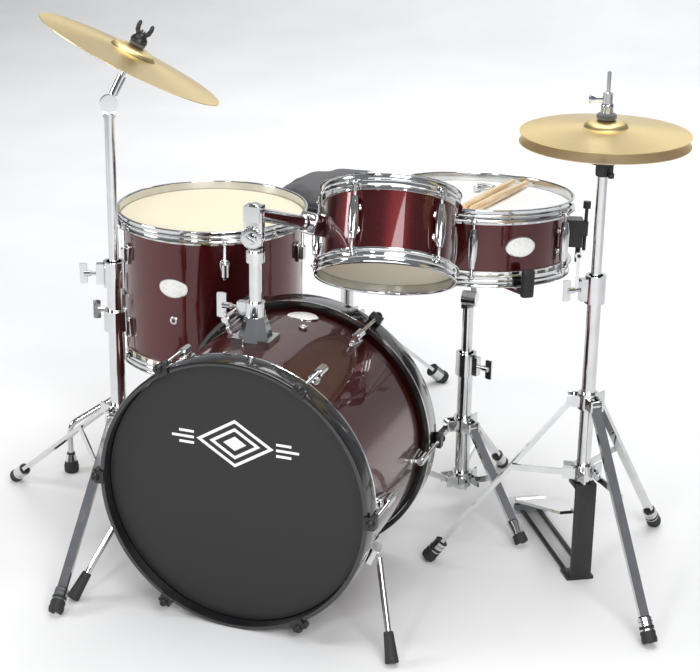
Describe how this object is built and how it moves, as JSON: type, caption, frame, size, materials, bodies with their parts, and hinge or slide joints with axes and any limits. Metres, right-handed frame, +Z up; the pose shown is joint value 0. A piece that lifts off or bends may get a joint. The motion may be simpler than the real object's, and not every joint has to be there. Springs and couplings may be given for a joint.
{
  "type": "drum kit",
  "caption": "Small acoustic drum kit: bass drum with hanging tom, floor tom, snare on a stand, hi-hat, crash cymbal, throne and pedals.",
  "frame": {"origin": "Centre of the kit's bounding box on the floor.", "axes": "+Z up; +Y from the audience to the drummer, along the bass drum axis; +X to the audience's right."},
  "size_m": [1.197, 1.1911, 0.876],
  "materials": {
    "shell": "gloss metallic wrap",
    "black_lacquer": "gloss",
    "black_head": "matte film",
    "cream_head": "coated film",
    "white_head": "coated film",
    "black_steel": "satin",
    "bronze": "satin",
    "vinyl": "soft matte",
    "stick_wood": "clear",
    "black_plastic": "satin",
    "chrome": "polished"
  },
  "bodies": {
    "kit": {"bass_shell": "shell", "bass_hoops": "black_lacquer", "bass_heads": "black_head", "bass_lugs": "chrome", "bass_claws": "black_steel", "leg_brackets": "chrome", "tom_mount_base": "chrome", "floor_tom_shell": "shell", "floor_tom_hoops": "chrome", "floor_tom_heads": "cream_head", "floor_tom_lugs": "chrome", "snare_stand_base": "chrome", "hihat_base": "chrome", "crash_base_tube": "chrome", "throne_base": "chrome", "pedal_frame": "chrome"},
    "spur_left": {"spur_left": "chrome"},
    "spur_right": {"spur_right": "chrome"},
    "tom_post": {"tom_post": "chrome"},
    "tom_tilter": {"tom_tilter": "chrome"},
    "tom": {"tom_bracket": "chrome", "tom_shell": "shell", "tom_hoops": "chrome", "tom_heads": "cream_head", "tom_lugs": "chrome"},
    "floor_tom_leg_1": {"floor_tom_leg_1": "chrome"},
    "floor_tom_leg_2": {"floor_tom_leg_2": "chrome"},
    "floor_tom_leg_3": {"floor_tom_leg_3": "chrome"},
    "snare_tube": {"snare_tube": "chrome"},
    "snare": {"snare_basket": "chrome", "snare_shell": "shell", "snare_hoops": "chrome", "snare_heads": "white_head", "snare_lugs": "chrome", "snare_wires": "chrome", "snare_strainer": "black_plastic", "drumsticks": "stick_wood", "drum_key": "chrome"},
    "snare_lever": {"snare_lever": "chrome"},
    "hihat_tube": {"hihat_tube": "chrome", "hihat_seat": "black_plastic", "hihat_bottom_cymbal": "bronze"},
    "hihat_rod": {"hihat_rod": "chrome", "hihat_top_cymbal": "bronze"},
    "hihat_footboard": {"hihat_footboard": "chrome"},
    "crash_collar": {"crash_collar": "chrome"},
    "crash_leg_1": {"crash_leg_1": "chrome"},
    "crash_leg_2": {"crash_leg_2": "chrome"},
    "crash_leg_3": {"crash_leg_3": "chrome"},
    "crash_brace_1": {"crash_brace_1": "chrome"},
    "crash_brace_2": {"crash_brace_2": "chrome"},
    "crash_brace_3": {"crash_brace_3": "chrome"},
    "crash_tube": {"crash_tube": "chrome"},
    "crash_tilter": {"crash_tilter": "chrome", "crash_wing_nut": "black_plastic"},
    "crash_cymbal": {"crash_cymbal": "bronze"},
    "throne_post": {"throne_post": "chrome"},
    "throne_cushion": {"throne_cushion": "vinyl"},
    "pedal_beater": {"pedal_beater": "chrome"},
    "pedal_footboard": {"pedal_footboard": "chrome"}
  },
  "joints": [
    {"name": "spur_right_slide", "type": "slide", "parent": "kit", "child": "spur_right", "axis": [-0.324, 0.5215, 0.7893], "range_m": [0, 0.012]},
    {"name": "spur_left_slide", "type": "slide", "parent": "kit", "child": "spur_left", "axis": [0.324, 0.5215, 0.7893], "range_m": [0, 0.012]},
    {"name": "tom_post_height", "type": "slide", "parent": "kit", "child": "tom_post", "axis": [0, 0, 1], "range_m": [0, 0.04]},
    {"name": "tom_tilter_hinge", "type": "hinge", "parent": "tom_post", "child": "tom_tilter", "pos_m": [-0.0332, -0.3814, 0.582], "axis": [0, 1, 0], "range_deg": [-6, 4]},
    {"name": "tom_arm_turn", "type": "hinge", "parent": "tom_tilter", "child": "tom", "pos_m": [-0.0332, -0.3854, 0.618], "axis": [0.3791, 0.868, -0.3208], "range_deg": [-4, 0]},
    {"name": "floor_tom_leg_1_height", "type": "slide", "parent": "kit", "child": "floor_tom_leg_1", "axis": [0, 0, 1], "range_m": [0, 0.03]},
    {"name": "floor_tom_leg_2_height", "type": "slide", "parent": "kit", "child": "floor_tom_leg_2", "axis": [0, 0, 1], "range_m": [0, 0.03]},
    {"name": "floor_tom_leg_3_height", "type": "slide", "parent": "kit", "child": "floor_tom_leg_3", "axis": [0, 0, 1], "range_m": [0, 0.03]},
    {"name": "snare_stand_height", "type": "slide", "parent": "kit", "child": "snare_tube", "axis": [0, 0, 1], "range_m": [-0.03, 0]},
    {"name": "snare_basket_tilt", "type": "hinge", "parent": "snare_tube", "child": "snare", "pos_m": [0.182, 0.0326, 0.382], "axis": [1, 0, 0], "range_deg": [-12, 0]},
    {"name": "snare_lever_hinge", "type": "hinge", "parent": "snare", "child": "snare_lever", "pos_m": [0.34918, 0.10381, 0.45635], "axis": [-0.309, 0.9487, -0.0663], "range_deg": [-100, 0]},
    {"name": "hihat_tube_height", "type": "slide", "parent": "kit", "child": "hihat_tube", "axis": [0, 0, 1], "range_m": [-0.07, 0]},
    {"name": "hihat_rod_travel", "type": "slide", "parent": "kit", "child": "hihat_rod", "axis": [0, 0, 1], "range_m": [-0.013, 0], "stiffness_N_per_m": 400, "springref_m": 0.04},
    {"name": "hihat_footboard_hinge", "type": "hinge", "parent": "kit", "child": "hihat_footboard", "pos_m": [0.30263, 0.05193, 0.0215], "axis": [-0.8443, -0.5358, 0], "range_deg": [-3.6, 0]},
    {"name": "crash_collar_slide", "type": "slide", "parent": "kit", "child": "crash_collar", "axis": [0, 0, 1], "range_m": [-0.02, 0]},
    {"name": "crash_leg_1_hinge", "type": "hinge", "parent": "crash_collar", "child": "crash_leg_1", "pos_m": [-0.33914, -0.28147, 0.224], "axis": [-0.3971, -0.9178, 0], "range_deg": [-10.5, 0]},
    {"name": "crash_leg_2_hinge", "type": "hinge", "parent": "crash_collar", "child": "crash_leg_2", "pos_m": [-0.31333, -0.31623, 0.224], "axis": [0.9934, 0.1149, 0], "range_deg": [-10.5, 0]},
    {"name": "crash_leg_3_hinge", "type": "hinge", "parent": "crash_collar", "child": "crash_leg_3", "pos_m": [-0.30295, -0.2702, 0.224], "axis": [-0.848, 0.5299, 0], "range_deg": [-10.5, 0]},
    {"name": "crash_brace_1_hinge", "type": "hinge", "parent": "kit", "child": "crash_brace_1", "pos_m": [-0.33685, -0.28246, 0.072], "axis": [-0.3971, -0.9178, 0], "range_deg": [0, 5.5]},
    {"name": "crash_brace_2_hinge", "type": "hinge", "parent": "kit", "child": "crash_brace_2", "pos_m": [-0.31361, -0.31375, 0.072], "axis": [0.9934, 0.1149, 0], "range_deg": [0, 5.5]},
    {"name": "crash_brace_3_hinge", "type": "hinge", "parent": "kit", "child": "crash_brace_3", "pos_m": [-0.30428, -0.27232, 0.072], "axis": [-0.848, 0.5299, 0], "range_deg": [0, 5.5]},
    {"name": "crash_height", "type": "slide", "parent": "kit", "child": "crash_tube", "axis": [0, 0, 1], "range_m": [-0.1, 0.03]},
    {"name": "crash_tilter_hinge", "type": "hinge", "parent": "crash_tube", "child": "crash_tilter", "pos_m": [-0.3162, -0.2914, 0.738], "axis": [-0.5254, 0.8508, 0], "range_deg": [-27, 8]},
    {"name": "crash_cymbal_spin", "type": "hinge", "parent": "crash_tilter", "child": "crash_cymbal", "pos_m": [-0.28677, -0.27323, 0.80567], "axis": [0.3872, 0.2391, 0.8904], "continuous": true},
    {"name": "throne_height", "type": "slide", "parent": "kit", "child": "throne_post", "axis": [0, 0, 1], "range_m": [-0.055, 0.02]},
    {"name": "throne_seat_spin", "type": "hinge", "parent": "throne_post", "child": "throne_cushion", "pos_m": [-0.1632, 0.3896, 0.425], "axis": [0, 0, 1], "continuous": true},
    {"name": "pedal_beater_swing", "type": "hinge", "parent": "kit", "child": "pedal_beater", "pos_m": [-0.0162, -0.1484, 0.118], "axis": [1, 0, 0], "range_deg": [0, 47], "stiffness_Nm_per_rad": 0.5, "springref_deg": -34.38},
    {"name": "pedal_footboard_hinge", "type": "hinge", "parent": "kit", "child": "pedal_footboard", "pos_m": [-0.0162, 0.0566, 0.0215], "axis": [1, 0, 0], "range_deg": [0, 7.2]}
  ],
  "couplings": [
    {"joint": "hihat_footboard_hinge", "follows": "hihat_rod_travel", "rad_per_m": 4.3},
    {"joint": "crash_leg_1_hinge", "follows": "crash_collar_slide", "rad_per_m": 8.9},
    {"joint": "crash_leg_2_hinge", "follows": "crash_collar_slide", "rad_per_m": 8.9},
    {"joint": "crash_leg_3_hinge", "follows": "crash_collar_slide", "rad_per_m": 8.9},
    {"joint": "crash_brace_1_hinge", "follows": "crash_collar_slide", "rad_per_m": -4.54},
    {"joint": "crash_brace_2_hinge", "follows": "crash_collar_slide", "rad_per_m": -4.54},
    {"joint": "crash_brace_3_hinge", "follows": "crash_collar_slide", "rad_per_m": -4.54},
    {"joint": "pedal_footboard_hinge", "follows": "pedal_beater_swing", "ratio": 0.15}
  ]
}
